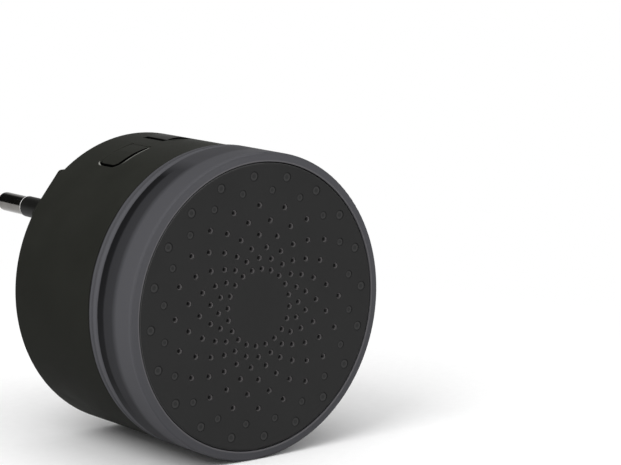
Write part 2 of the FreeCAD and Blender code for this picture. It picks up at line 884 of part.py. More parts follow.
def make_transformer_core():
    across, deep, high = core_size
    core = upright(core_place, core_size, mount_back)
    opening = across / 2 - 2 * core_limb
    for side in (-1, 1):
        place = (core_place[0] + side * (core_limb + opening / 2), core_place[1])
        core = core.cut(upright(place, (opening, deep - 2 * core_limb, high), mount_back + core_limb))
    return core


def make_transformer_coil():
    across, deep, high = core_size
    wound_size = (across - 2 * (core_limb + slip_gap), deep - 2 * (core_limb + seat_gap), bobbin_high)
    wound = upright(core_place, wound_size, mount_back + core_limb + seat_gap)
    limb = upright(core_place, (2 * core_limb + slip_gap, deep, high + slip_gap), mount_back)
    return wound.cut(limb)


def board_can(place, radius):
    # A round capacitor standing on the rear side of the board, with its rolled groove.
    front = mount_back
    groove = front + cap_groove
    back = front + cap_length
    return lathe([
        (0, front),
        (radius, front),
        (radius, groove),
        (radius - cap_groove_deep, groove + cap_groove_half),
        (radius, groove + 2 * cap_groove_half),
        (radius, back - cap_edge),
        (radius - cap_edge, back),
        (0, back),
    ], place[0], axis_z + place[1])


def make_fuse_resistor():
    foot = front_y + mount_back
    middle = foot + fuse_lead_bend + fuse_radius
    z = axis_z - fuse_drop
    reach = fuse_length / 2 + 2 * fuse_lead_bend
    body = Part.makeCylinder(fuse_radius, fuse_length, Vector(-fuse_length / 2, middle, z), Vector(1, 0, 0))
    points = [(0, middle, z), (reach, middle, z), (reach, foot, z)]
    lead = bent_wire(points, fuse_lead_radius, fuse_lead_bend)
    return body.fuse([lead, lead.mirror(Vector(0, 0, 0), Vector(1, 0, 0))])


def make_pin(side):
    head_back = face_depth - boss_face_wall - fit_gap
    head_front = face_depth - boss_face_wall - pin_head_thick
    tip = face_depth + pin_length
    bare = face_depth + sleeve_length + fit_gap
    round_start = (pin_radius, tip - pin_tip_round)
    return lathe([
        (0, head_front - pin_tail_length),
        (pin_tail_radius, head_front - pin_tail_length),
        (pin_tail_radius, head_front),
        (pin_head_radius, head_front),
        (pin_head_radius, head_back),
        (pin_core_radius, head_back),
        (pin_core_radius, bare),
        (pin_radius, bare),
        round_start,
        quarter(round_start, (pin_radius, tip), (pin_radius - pin_tip_round, tip)),
        (0, tip),
    ], side * pin_x, 0)


def make_pin_sleeve(side):
    front = face_depth - boss_face_wall
    back = face_depth + sleeve_length
    sleeve = pin_rod(sleeve_radius, front, back, side)
    return sleeve.cut(pin_rod(pin_core_radius + fit_gap, front, back, side))


def make_contact(side):
    # A brass strap: an eye on the pin's tail, bent forward to the board.
    back = face_depth - boss_face_wall - pin_head_thick - fit_gap
    front = back - strap_thick
    eye_radius = pin_tail_radius + strap_eye_wall
    top = eye_radius + strap_bend
    left = side * pin_x - strap_width / 2
    ear = Part.makeBox(strap_width, strap_thick, top, Vector(left, front_y + front, 0))
    blade = Part.makeBox(strap_width, back - mount_back, strap_thick,
                         Vector(left, front_y + mount_back, top - strap_thick))
    strap = pin_rod(eye_radius, front, back, side).fuse([ear, blade])
    return strap.cut(pin_rod(pin_tail_radius + fit_gap, front, back, side)).removeSplitter()


def make_rear_cover():
    plate = rod(rear_radius - shell_wall - seat_gap, cover_front, cover_back)
    boss = round_edges(boss_prism(0.0, cover_front, face_depth), boss_round, along_depth)
    face_y = front_y + face_depth
    boss = round_edges(boss, boss_face_round, lambda box: box.YMin > face_y - boss_face_round)
    cover = plate.fuse(boss)
    cover = cover.cut(boss_prism(boss_wall, cover_front, face_depth - boss_face_wall))
    for side in (-1, 1):
        hole = pin_rod(sleeve_radius + fit_gap, face_depth - boss_face_wall, face_depth, side)
        cover = cover.cut(hole)
    bore = rod(screw_radius + slip_gap, cover_front, cover_back, post_circle)
    sink = rod(screw_head_radius + slip_gap, cover_front + sink_floor, cover_back, post_circle)
    return cover.cut(Part.makeCompound(around(bore.fuse(sink), screw_count, post_angle)))


def make_speaker_leads():
    start = front_y + basket_back + seat_gap / 2
    end = front_y + mount_front
    leads = []
    for side in (-1, 1):
        x = side * wire_spread / 2
        near = axis_z - terminal_middle
        far = near - wire_step
        points = [(x, start, near), (x, start + wire_tail, near), (x, end - wire_tail, far), (x, end, far)]
        leads.append(bent_wire(points, wire_radius, wire_bend))
    return Part.makeCompound(leads)


def make_link_pins():
    half = link_width / 2
    low = boss_circle - link_pitch / 2
    bar_front = mount_front - link_bar_deep
    bar = block(link_pitch * link_count, low, low + link_pitch, bar_front, mount_front, link_angle)
    pins = []
    for step in range(link_count):
        shift = (step - (link_count - 1) / 2) * link_pitch
        pins.append(block(link_width, boss_circle - half, boss_circle + half, led_screw_depth, mount_front,
                          link_angle, shift))
    return bar.fuse(pins)


def make_nodes():
    return {
        "main_housing": make_main_housing(),
        "rear_cover": make_rear_cover(),
        "light_ring": make_light_ring(),
        "front_grille": make_front_grille(),
        "ring_carrier": make_ring_carrier(),
        "melody_key": make_melody_key(),
        "slider_knob": make_slider_knob(),
        "left_pin": make_pin(-1),
        "right_pin": make_pin(1),
        "left_pin_sleeve": make_pin_sleeve(-1),
        "right_pin_sleeve": make_pin_sleeve(1),
        "left_contact": make_contact(-1),
        "right_contact": make_contact(1),
        "led_board": make_led_board(),
        "status_leds": make_status_leds(),
        "dust_cloth": rod(tube_outer, cloth_front, cloth_back),
        "speaker_gasket": tube(speaker_radius - gasket_width, speaker_radius, gasket_front,
                               gasket_front + gasket_thick),
        "speaker_frame": make_speaker_frame(),
        "speaker_surround": make_speaker_surround(),
        "speaker_cone": make_speaker_cone(),
        "dust_cap": make_dust_cap(),
        "voice_coil": tube(coil_radius - coil_wall, coil_radius, neck_depth + seat_gap / 2,
                           neck_depth + coil_length),
        "top_plate": tube(coil_radius + pole_gap, plate_radius, basket_back + seat_gap / 2, plate_back),
        "ring_magnet": tube(magnet_hole_radius, magnet_radius, plate_back + seat_gap / 2, magnet_back),
        "magnet_yoke": make_magnet_yoke(),
        "main_board": make_main_board(),
        "tact_switch": make_tact_switch(),
        "tact_plunger": make_tact_plunger(),
        "slide_switch": make_slide_switch(),
        "switch_lever": make_switch_lever(),
        "control_chip": make_chip(),
        "radio_module": make_radio_module(),
        "antenna_wire": make_antenna_wire(),
        "transformer_core": make_transformer_core(),
        "transformer_coil": make_transformer_coil(),
        "filter_capacitor": board_can(filter_cap_place, filter_cap_radius),
        "storage_capacitor": board_can(storage_cap_place, storage_cap_radius),
        "film_capacitor": upright(film_cap_place, film_cap_size, mount_back),
        "fuse_resistor": make_fuse_resistor(),
        "speaker_leads": make_speaker_leads(),
        "link_pins": make_link_pins(),
        "front_screws": screws(led_screw_depth, front_screw_length, -1, boss_circle, hook_count,
                               front_screw_angle),
        "cover_screws": screws(sink_depth, cover_screw_length, -1, post_circle, screw_count, post_angle,
                               recessed=True),
        "board_screws": screws(mount_front, board_screw_length, 1, post_circle, screw_count, post_angle),
    }


os.makedirs("parts", exist_ok=True)
for name, shape in make_nodes().items():
    if not shape.isValid() or not shape.Solids:
        raise RuntimeError(name + " is not a valid solid")
    shape.exportStep("parts/" + name + ".step")
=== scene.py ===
import bpy
import bmesh
import math
from mathutils import Matrix, Vector


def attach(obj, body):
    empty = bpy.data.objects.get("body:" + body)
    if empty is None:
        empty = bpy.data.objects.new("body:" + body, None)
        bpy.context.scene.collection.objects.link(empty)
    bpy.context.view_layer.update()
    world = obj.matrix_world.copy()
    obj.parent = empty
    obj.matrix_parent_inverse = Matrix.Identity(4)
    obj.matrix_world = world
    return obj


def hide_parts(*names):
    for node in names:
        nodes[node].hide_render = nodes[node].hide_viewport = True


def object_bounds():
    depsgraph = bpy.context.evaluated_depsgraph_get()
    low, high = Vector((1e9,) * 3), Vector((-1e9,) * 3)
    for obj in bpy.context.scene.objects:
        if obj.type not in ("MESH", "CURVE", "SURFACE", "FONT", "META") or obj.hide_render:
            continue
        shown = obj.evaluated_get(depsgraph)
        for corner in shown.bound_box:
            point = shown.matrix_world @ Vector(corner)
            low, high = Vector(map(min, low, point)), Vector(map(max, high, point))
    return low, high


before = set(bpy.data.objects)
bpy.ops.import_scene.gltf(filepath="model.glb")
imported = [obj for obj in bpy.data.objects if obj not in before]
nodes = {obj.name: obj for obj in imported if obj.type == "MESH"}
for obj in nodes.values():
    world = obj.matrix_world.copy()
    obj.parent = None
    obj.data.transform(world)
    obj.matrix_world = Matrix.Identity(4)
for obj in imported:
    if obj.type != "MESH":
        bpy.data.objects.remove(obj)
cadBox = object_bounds()
mm = 0.001
frontY = -58.5 * mm  # the front face
axisZ = -12.2 * mm  # the body's own axis, below the pins

# camera: where the photograph was taken from
camera = {
    "place": (-0.30338, -0.44577, 0.08581),
    "right": (0.77567, -0.63107, 0.00927),
    "up": (0.09800, 0.13493, 0.98600),
    "back": (-0.62349, -0.76390, 0.16651),
    "lens": 149.0,
    "sensor": 36.0,
    "clip": (0.02, 20),
}


def setCamera(c):
    data = bpy.data.cameras.new("camera")
    data.lens = c["lens"]
    data.sensor_width = c["sensor"]
    data.sensor_fit = "HORIZONTAL"
    data.clip_start, data.clip_end = c["clip"]
    obj = bpy.data.objects.new("camera", data)
    axes = Matrix((c["right"], c["up"], c["back"])).transposed().to_4x4()
    obj.matrix_world = Matrix.Translation(c["place"]) @ axes
    bpy.context.scene.collection.objects.link(obj)
    bpy.context.scene.camera = obj


setCamera(camera)
print("camera set")


# helpers for node trees
def put(tree, kind, **settings):
    node = tree.nodes.new(kind)
    for name, value in settings.items():
        setattr(node, name, value)
    return node


def feed(tree, node, values):
    # a value is a number or colour, or another node's output
    for name, value in values.items():
        if isinstance(value, bpy.types.NodeSocket):
            tree.links.new(value, node.inputs[name])
        else:
            node.inputs[name].default_value = value


def startMaterial(name):
    mat = bpy.data.materials.new(name)
    mat.use_nodes = True
    tree = mat.node_tree
    shader = tree.nodes["Principled BSDF"]
    coord = put(tree, "ShaderNodeTexCoord").outputs["Object"]
    return mat, tree, shader, coord


def calc(tree, how, *values):
    node = put(tree, "ShaderNodeMath", operation=how)
    feed(tree, node, dict(enumerate(values)))
    return node.outputs[0]


def product(tree, *values):
    result = values[0]
    for value in values[1:]:
        result = calc(tree, "MULTIPLY", result, value)
    return result


def reach(tree, a, b):
    # length of the diagonal over two sides
    squares = [calc(tree, "POWER", value, 2.0) for value in (a, b)]
    return calc(tree, "SQRT", calc(tree, "ADD", *squares))


def vectors(tree, how, *values):
    # a dot product or a length comes out as one number
    node = put(tree, "ShaderNodeVectorMath", operation=how)
    feed(tree, node, dict(enumerate(values)))
    return node.outputs["Value" if how in ("DOT_PRODUCT", "LENGTH") else "Vector"]


def splitAxes(tree, vector):
    node = put(tree, "ShaderNodeSeparateXYZ")
    tree.links.new(vector, node.inputs[0])
    return node.outputs["X"], node.outputs["Y"], node.outputs["Z"]


def spread(tree, value, low, high, start=0.3, end=0.7, smooth=False):
    # runs from low to high while the value runs from start to end, by default over a noise's usual span
    node = put(tree, "ShaderNodeMapRange", interpolation_type="SMOOTHSTEP" if smooth else "LINEAR")
    feed(tree, node, {"Value": value, "From Min": start, "From Max": end,
                      "To Min": low, "To Max": high})
    return node.outputs["Result"]


def within(tree, value, low, high):
    return product(tree, calc(tree, "GREATER_THAN", value, low), calc(tree, "LESS_THAN", value, high))


def blendColour(tree, factor, first, second):
    # the mix node's colour sockets are 6 and 7, and its colour comes out at 2
    node = put(tree, "ShaderNodeMix", data_type="RGBA")
    feed(tree, node, {0: factor})
    for socket, value in ((6, first), (7, second)):
        if isinstance(value, bpy.types.NodeSocket):
            tree.links.new(value, node.inputs[socket])
        else:
            node.inputs[socket].default_value = (*value, 1)
    return node.outputs[2]


def scaleColour(tree, colour, factor):
    node = put(tree, "ShaderNodeVectorMath", operation="SCALE")
    feed(tree, node, {0: colour, "Scale": factor})
    return node.outputs[0]


def toneRamp(tree, value, tones, tint=(1.0, 1.0, 1.0)):
    # grey levels along a value that runs from 0 to the last tone's place
    last = tones[-1][0]
    ramp = put(tree, "ShaderNodeValToRGB")
    stops = ramp.color_ramp.elements
    while len(stops) < len(tones):
        stops.new(0.5)
    for stop, (place, grey) in zip(stops, tones):
        stop.position = place / last
        stop.color = (*(grey * t for t in tint), 1)
    tree.links.new(spread(tree, value, 0.0, 1.0, 0.0, last), ramp.inputs[0])
    return ramp.outputs[0]


def noise(tree, coord, size, detail, rough=0.5):
    # size is the blob's width in metres
    node = put(tree, "ShaderNodeTexNoise")
    feed(tree, node, {"Vector": coord, "Scale": 1 / size, "Detail": detail, "Roughness": rough})
    return node.outputs["Fac"]


wavePeriod = 0.314  # a wave texture's own period


def fineLines(tree, coord, along, pitch, look):
    node = put(tree, "ShaderNodeTexWave", wave_type="BANDS", bands_direction=along, wave_profile="SIN")
    feed(tree, node, {"Vector": coord, "Scale": wavePeriod / pitch, **look})
    return node.outputs["Fac"]


def roundedNormal(tree, radius):
    node = put(tree, "ShaderNodeBevel", samples=4)
    feed(tree, node, {"Radius": radius})
    return node.outputs["Normal"]


edgeLean = (0.75, 0.98)  # from a worn edge to a flat


def edgeMask(tree, rounded):
    # 1 on sharp edges and 0 on flats: how far the rounded normal leaves the true one
    true = put(tree, "ShaderNodeNewGeometry").outputs["Normal"]
    return spread(tree, vectors(tree, "DOT_PRODUCT", rounded, true), 1.0, 0.0, *edgeLean)


def roughen(tree, height, depth, normal=None):
    node = put(tree, "ShaderNodeBump")
    feed(tree, node, {"Height": height, "Distance": depth, "Strength": 1.0})
    if normal is not None:
        tree.links.new(normal, node.inputs["Normal"])
    return node.outputs["Normal"]


# where a point lies on the round body
def fromAxis(tree, coord):
    # direction and distance from the body's axis
    flat = vectors(tree, "MULTIPLY_ADD", coord, (1, 0, 1), (0, 0, -axisZ))
    return vectors(tree, "NORMALIZE", flat), vectors(tree, "LENGTH", flat)


def angleFromTop(tree, outward):
    # to the left as seen from the front
    x, _, z = splitAxes(tree, outward)
    return calc(tree, "ARCTAN2", calc(tree, "MULTIPLY", x, -1.0), z)


def depthOf(tree, coord):
    # backwards from the front face
    return calc(tree, "SUBTRACT", splitAxes(tree, coord)[1], frontY)


def surfaceNormal(tree):
    # in the piece's own axes
    return put(tree, "ShaderNodeTexCoord").outputs["Normal"]


def outwardness(tree, coord):
    # 1 where the surface faces away from the body's axis, 0 on walls square to the rim
    return vectors(tree, "DOT_PRODUCT", fromAxis(tree, coord)[0], surfaceNormal(tree))


# moulded plastics: a spark-eroded grain, faint flow marks and rubbed edges
plastics = {
    "shellPlastic": {"dark": (0.0184, 0.0189, 0.0161), "light": (0.0216, 0.0222, 0.0190),
                     "worn": (0.034, 0.035, 0.030), "rough": (0.42, 0.52),
                     "grain": 0.16 * mm, "grainDepth": 0.008 * mm, "gloss": 0.012, "edge": 0.16 * mm},
    "keyPlastic": {"dark": (0.0184, 0.0189, 0.0161), "light": (0.0216, 0.0222, 0.0190),
                   "worn": (0.034, 0.035, 0.030), "rough": (0.40, 0.50),
                   "grain": 0.16 * mm, "grainDepth": 0.008 * mm, "gloss": 0.012, "edge": 0.12 * mm},
    "grillePlastic": {"dark": (0.0268, 0.0268, 0.0268), "light": (0.0292, 0.0292, 0.0292),
                      "worn": (0.046, 0.046, 0.046), "rough": (0.44, 0.54),
                      "grain": 0.13 * mm, "grainDepth": 0.008 * mm, "gloss": 0.08, "edge": 0.10 * mm},
    "innerPlastic": {"dark": (0.008, 0.008, 0.009), "light": (0.013, 0.013, 0.014),
                     "worn": (0.022, 0.022, 0.022), "rough": (0.50, 0.62),
                     "grain": 0.20 * mm, "grainDepth": 0.010 * mm, "gloss": 0.2, "edge": 0.10 * mm},
    "knobPlastic": {"dark": (0.0178, 0.0183, 0.0163), "light": (0.0210, 0.0215, 0.0191),
                    "worn": (0.042, 0.042, 0.038), "rough": (0.38, 0.46),
                    "grain": 0.12 * mm, "grainDepth": 0.006 * mm, "gloss": 0.06, "edge": 0.12 * mm},
    # the sleeves' rubbed edge colour is near white: a painted highlight along their edges
    "sleevePlastic": {"dark": (0.0070, 0.0070, 0.0064), "light": (0.0095, 0.0095, 0.0087),
                      "worn": (0.34, 0.34, 0.33), "rough": (0.38, 0.48),
                      "grain": 0.18 * mm, "grainDepth": 0.008 * mm, "gloss": 0.15, "edge": 0.16 * mm},
    "nylonBlack": {"dark": (0.010, 0.010, 0.010), "light": (0.015, 0.015, 0.015),
                   "worn": (0.03, 0.03, 0.03), "rough": (0.35, 0.45),
                   "grain": 0.10 * mm, "grainDepth": 0.005 * mm, "gloss": 0.4, "edge": 0.08 * mm},
    "lampBody": {"dark": (0.70, 0.69, 0.62), "light": (0.82, 0.81, 0.75),
                 "worn": (0.85, 0.84, 0.80), "rough": (0.25, 0.35),
                 "grain": 0.10 * mm, "grainDepth": 0.003 * mm, "gloss": 0.5, "edge": 0.06 * mm},
    "sleeveBlue": {"dark": (0.010, 0.018, 0.055), "light": (0.016, 0.026, 0.075),
                   "worn": (0.10, 0.12, 0.18), "rough": (0.22, 0.32),
                   "grain": 0.30 * mm, "grainDepth": 0.006 * mm, "gloss": 0.5, "edge": 0.12 * mm},
    "tapeYellow": {"dark": (0.52, 0.36, 0.03), "light": (0.62, 0.45, 0.05),
                   "worn": (0.72, 0.58, 0.18), "rough": (0.25, 0.38),
                   "grain": 0.35 * mm, "grainDepth": 0.012 * mm, "gloss": 0.5, "edge": 0.10 * mm},
    "wireRed": {"dark": (0.36, 0.012, 0.010), "light": (0.46, 0.020, 0.016),
                "worn": (0.60, 0.12, 0.10), "rough": (0.34, 0.46),
                "grain": 0.16 * mm, "grainDepth": 0.006 * mm, "gloss": 0.45, "edge": 0.05 * mm},
    "foamGrey": {"dark": (0.05, 0.05, 0.05), "light": (0.12, 0.12, 0.12),
                 "worn": (0.14, 0.14, 0.14), "rough": (0.80, 0.95),
                 "grain": 0.22 * mm, "grainDepth": 0.060 * mm, "gloss": 0.2, "edge": 0.08 * mm},
    "rollRubber": {"dark": (0.012, 0.012, 0.012), "light": (0.020, 0.020, 0.020),
                   "worn": (0.030, 0.030, 0.030), "rough": (0.48, 0.60),
                   "grain": 0.10 * mm, "grainDepth": 0.006 * mm, "gloss": 0.3, "edge": 0.05 * mm},
    "conePaper": {"dark": (0.022, 0.021, 0.020), "light": (0.050, 0.048, 0.045),
                  "worn": (0.055, 0.052, 0.050), "rough": (0.75, 0.90),
                  "grain": 0.35 * mm, "grainDepth": 0.030 * mm, "gloss": 0.15, "edge": 0.06 * mm},
}
# the same for all of them: noises as width, detail and roughness, but the grain's width is each one's own
moulding = {"flow": (9 * mm, 4.0, 0.6), "clouds": (1.3 * mm, 2.0), "grain": (2.0, 0.65),
            "rubbed": (0.15, 0.85), "edgePolish": 0.08, "speckle": 0.03, "ior": 1.47}

# openings in the rim: their walls are painted near black as a painted shadow, and the shell's rounded edge
# beside the key's slot gets a painted highlight
slots = {
    "depths": (25.0 * mm, 36.0 * mm),  # both openings lie between these
    "wall": 0.30,  # a wall's outwardness is below this
    "shade": (0.0015, 0.0015, 0.0015),
    # painted shadow on the knob below this radius
    "skirt": 29.6 * mm,  # the knob is dark inside this radius
    # the key's rounded outline: its middle as degrees and depth, and half its length and width
    "middle": (22.2, 29.5 * mm), "half": (4.31 * mm, 3.2 * mm), "corner": 1.3 * mm, "radius": 30.15 * mm,
    "root": (-4.7 * mm, -4.0 * mm),  # along the key
    "farWall": 3.05 * mm,  # across the key, and plain beyond this
    # painted highlight: a bright line outside the outline, widest at the key's free end, thin along its
    # near side
    "bright": (0.30, 0.30, 0.28), "line": (0.42 * mm, 0.68 * mm), "lineStart": 0.32 * mm,
    "near": (-1.5 * mm, -0.5 * mm), "nearShare": 0.5,  # across
    "nearEnd": (2.11 * mm, 3.51 * mm), "nearEndShare": 0.1,  # along
    "tip": (3.71 * mm, 4.41 * mm), "far": (1.0 * mm, 2.6 * mm), "farShare": 0.05,
}


def keyPlace(tree, coord):
    # along the rim and in depth, from the key's middle
    turned = angleFromTop(tree, fromAxis(tree, coord)[0])
    angle, depth = slots["middle"]
    along = product(tree, calc(tree, "SUBTRACT", turned, math.radians(angle)), slots["radius"])
    return along, calc(tree, "SUBTRACT", depthOf(tree, coord), depth)


# painted shadow: the walls of the key's slot and of the knob's window are painted near black
def paintWallShadow(tree, coord, colour):
    s = slots
    along, across = keyPlace(tree, coord)
    here = within(tree, depthOf(tree, coord), *s["depths"])
    wall = calc(tree, "LESS_THAN", calc(tree, "ABSOLUTE", outwardness(tree, coord)), s["wall"])
    # painted shadow: the key's root and the slot's far side stay plain, and the knob's window walls are
    # painted in shade all round
    windowSide, keySide = s["root"]
    besideKey = product(tree, calc(tree, "GREATER_THAN", along, keySide),
                        calc(tree, "LESS_THAN", across, s["farWall"]))
    shaded = calc(tree, "MAXIMUM", calc(tree, "LESS_THAN", along, windowSide), besideKey)
    return blendColour(tree, product(tree, wall, here, shaded), colour, s["shade"])


def paintKnobShadow(tree, coord, colour):
    # painted shadow: the knob's skirt, below the shell's surface, is painted near black
    below = calc(tree, "LESS_THAN", fromAxis(tree, coord)[1], slots["skirt"])
    return blendColour(tree, below, paintWallShadow(tree, coord, colour), slots["shade"])


# painted highlight on the shell's edge beside the key's slot, over the painted shadow on the walls
def paintSlotLightAndShade(tree, coord, colour):
    s = slots
    along, across = keyPlace(tree, coord)
    # distance outwards from the key's rounded outline
    beyond = [calc(tree, "MAXIMUM", calc(tree, "SUBTRACT", calc(tree, "ABSOLUTE", value),
                                         half - s["corner"]), 0.0)
              for value, half in zip((along, across), s["half"])]
    distance = calc(tree, "SUBTRACT", reach(tree, *beyond), s["corner"])
    line = product(tree, spread(tree, distance, 1.0, 0.0, *s["line"]),
                   calc(tree, "GREATER_THAN", distance, s["lineStart"]))
    nearSide = product(tree, spread(tree, across, s["nearShare"], 0.0, *s["near"]),
                       calc(tree, "GREATER_THAN", along, s["root"][1]),
                       spread(tree, along, 1.0, s["nearEndShare"], *s["nearEnd"]))
    tip = product(tree, spread(tree, across, s["farShare"], 1.0, *s["far"]),
                  spread(tree, along, 0.0, 1.0, *s["tip"]))
    onSkin = calc(tree, "GREATER_THAN", outwardness(tree, coord), s["wall"])
    mask = product(tree, line, calc(tree, "MAXIMUM", nearSide, tip), onSkin)
    return blendColour(tree, mask, paintWallShadow(tree, coord, colour), s["bright"])


# front disc: each hole's countersink carries a painted highlight, lighter on walls that face down, its
# throat is painted lighter against its shade, and each dimple gets a painted light ring with a painted
# shadow outline
holes = {
    "within": 21.6 * mm,  # of the body's axis
    "slant": 0.8,  # a hole's wall faces forwards by less than this
    # painted highlight in the countersinks and painted light in the throats
    "sink": (0.14 * mm, 0.46 * mm), "sinkColour": (0.120, 0.114, 0.116),
    "sinkTilt": (-0.5, 0.7), "sinkShares": (1.85, 0.80),  # from walls that face down to those facing up
    "throat": (0.46 * mm, 1.62 * mm), "throatColour": (0.125, 0.122, 0.125),
    # radius of the circle, degrees to the first, radius of a dimple
    "dimples": ((23.1 * mm, 10.3, 0.75 * mm), (26.0 * mm, 3.1, 0.90 * mm)),
    "dimpleStep": 18.0, "dimpleDepth": 0.2 * mm,
    # share of a dimple's radius, grey level
    "dimpleTones": ((0.0, 0.035), (0.35, 0.032), (0.60, 0.051), (0.80, 0.054), (0.92, 0.031),
                    (1.04, 0.015), (1.20, 0.028)),
    # painted light: the grille's rim next to the ring is painted lighter, filling the gap's shade
    "edge": 28.33 * mm, "edgeColour": (0.090, 0.090, 0.090),
}


def markHoles(tree, coord, colour):
    h = holes
    outward, radius = fromAxis(tree, coord)
    turned = angleFromTop(tree, outward)
    depth = depthOf(tree, coord)
    # painted light ring and painted shadow outline on each dimple
    step = math.radians(h["dimpleStep"])
    for circle, first, size in h["dimples"]:
        # distance from the nearest dimple's middle, as a share of its radius
        shifted = calc(tree, "ADD", turned, math.tau - math.radians(first) + step / 2)
        off = calc(tree, "SUBTRACT", calc(tree, "MODULO", shifted, step), step / 2)
        distance = reach(tree, product(tree, off, circle), calc(tree, "SUBTRACT", radius, circle))
        share = calc(tree, "DIVIDE", distance, size)
        near = product(tree, calc(tree, "LESS_THAN", share, h["dimpleTones"][-1][0]),
                       calc(tree, "LESS_THAN", depth, h["dimpleDepth"]))
        colour = blendColour(tree, near, colour, toneRamp(tree, share, h["dimpleTones"]))
    # painted highlight: countersink walls brighter where they face down, darker where they face up
    _, facing, tilt = splitAxes(tree, surfaceNormal(tree))
    wall = product(tree, calc(tree, "LESS_THAN", calc(tree, "ABSOLUTE", facing), h["slant"]),
                   calc(tree, "LESS_THAN", radius, h["within"]))
    sunk = scaleColour(tree, h["sinkColour"], spread(tree, tilt, *h["sinkShares"], *h["sinkTilt"]))
    for span, tone in ((h["sink"], sunk), (h["throat"], h["throatColour"])):
        colour = blendColour(tree, product(tree, wall, within(tree, depth, *span)), colour, tone)
    return blendColour(tree, calc(tree, "GREATER_THAN", radius, h["edge"]), colour, h["edgeColour"])


# painted highlight: a bright band at the pin sleeves' outer ends
sleeveHighlight = {"from": 8.78 * mm, "bright": (0.62, 0.61, 0.60)}


def paintSleeveHighlight(tree, coord, colour):
    onLip = calc(tree, "GREATER_THAN", splitAxes(tree, coord)[1], sleeveHighlight["from"])
    return blendColour(tree, onLip, colour, sleeveHighlight["bright"])


# painted shade and painted highlights added to the shell, key, knob, grille and sleeves
extras = {"shellPlastic": paintSlotLightAndShade, "keyPlastic": paintWallShadow, "knobPlastic": paintKnobShadow,
          "grillePlastic": markHoles, "sleevePlastic": paintSleeveHighlight}


def makePlastic(name, p):
    mat, tree, shader, coord = startMaterial(name)
    m = moulding
    flow = noise(tree, coord, *m["flow"])
    clouds = noise(tree, coord, *m["clouds"])
    grain = noise(tree, coord, p["grain"], *m["grain"])
    rounded = roundedNormal(tree, p["edge"])
    edge = edgeMask(tree, rounded)
    body = blendColour(tree, spread(tree, flow, 0.0, 1.0), p["dark"], p["light"])
    colour = blendColour(tree, product(tree, edge, spread(tree, clouds, *m["rubbed"])), body, p["worn"])
    if name in extras:
        colour = extras[name](tree, coord, colour)
    polish = calc(tree, "SUBTRACT", spread(tree, flow, *p["rough"]), product(tree, edge, m["edgePolish"]))
    feed(tree, shader, {
        "Base Color": colour,
        "Roughness": calc(tree, "ADD", polish, spread(tree, grain, -m["speckle"], m["speckle"])),
        "IOR": m["ior"],
        "Specular IOR Level": p["gloss"],
        "Normal": roughen(tree, grain, p["grainDepth"], rounded),
    })
    return mat


materials = {name: makePlastic(name, p) for name, p in plastics.items()}
print("plastics made:", len(materials))

# the light ring: smoky clear plastic in grey bands along its depth, with a painted highlight on the front
# corner and on the two rear beads, painted shade in the groove in front of the beads and a painted shadow
# line at its back edge
ring = {
    # depth from the front face in mm, grey level
    "bands": ((0.0, 0.084), (0.45, 0.087), (0.7, 0.098), (1.1, 0.088), (5.0, 0.086), (6.6, 0.039),
              (9.0, 0.036), (9.5, 0.0125), (11.1, 0.0105), (11.5, 0.092), (12.1, 0.106), (12.6, 0.100),
              (13.25, 0.076), (13.7, 0.097), (13.95, 0.080), (14.1, 0.008), (14.6, 0.006)),
    "tint": (0.99, 0.99, 1.08),
    "swirl": (8 * mm, 3.0, 0.6), "wobble": 0.10 * mm,
    # height is 1 at the ring's top and -1 at its foot; the colour is painted darker at the top and lighter
    # down its side, a painted shade against the light from above
    "paintedShadeTop": 0.70, "paintedLightFoot": 1.40, "side": (0.2 * mm, 0.6 * mm),
    # painted light: near the top and the foot, the dark bands are painted lighter
    "paintedFill": 0.062, "fillTop": (0.83, 0.94), "fillFoot": (-0.95, -0.25), "footShare": 0.9,
    "fillEnd": 13.9 * mm,
    # painted highlight on the front rim's inner edge
    "lip": {"radii": (28.5 * mm, 28.95 * mm), "depth": 0.3 * mm, "bright": (0.128, 0.125, 0.133)},
    "rough": (0.48, 0.54), "gloss": 0.015, "clear": 0.02, "ior": 1.50,
    "grain": (0.25 * mm, 2.0), "grainDepth": 0.0015 * mm, "edge": 0.10 * mm,
}


def makeRing(r):
    mat, tree, shader, coord = startMaterial("ringSmoke")
    outward, radius = fromAxis(tree, coord)
    height = splitAxes(tree, outward)[2]
    depth = depthOf(tree, coord)
    swirl = noise(tree, coord, *r["swirl"])
    wavy = calc(tree, "ADD", depth, spread(tree, swirl, -r["wobble"], r["wobble"]))
    bands = toneRamp(tree, calc(tree, "DIVIDE", wavy, mm), r["bands"], r["tint"])
    paintedFill = calc(tree, "MAXIMUM", spread(tree, height, 0.0, 1.0, *r["fillTop"]),
                spread(tree, height, r["footShare"], 0.0, *r["fillFoot"]))
    level = product(tree, paintedFill, calc(tree, "LESS_THAN", depth, r["fillEnd"]), r["paintedFill"])
    filled = vectors(tree, "MAXIMUM", bands, scaleColour(tree, r["tint"], level))
    # painted shade: darker towards the top, lighter towards the foot
    lean = product(tree, height, spread(tree, depth, 0.0, 1.0, *r["side"]))
    shadedByHeight = scaleColour(tree, filled, spread(tree, lean, r["paintedLightFoot"], r["paintedShadeTop"], -1.0, 1.0))
    lip = r["lip"]
    onLip = product(tree, within(tree, radius, *lip["radii"]), calc(tree, "LESS_THAN", depth, lip["depth"]))
    feed(tree, shader, {
        "Base Color": blendColour(tree, onLip, shadedByHeight, lip["bright"]),
        "Roughness": spread(tree, swirl, *r["rough"]),
        "IOR": r["ior"],
        "Specular IOR Level": r["gloss"],
        "Transmission Weight": r["clear"],
        "Normal": roughen(tree, noise(tree, coord, *r["grain"]), r["grainDepth"],
                          roundedNormal(tree, r["edge"])),
    })
    return mat


materials["ringSmoke"] = makeRing(ring)
print("light ring made")

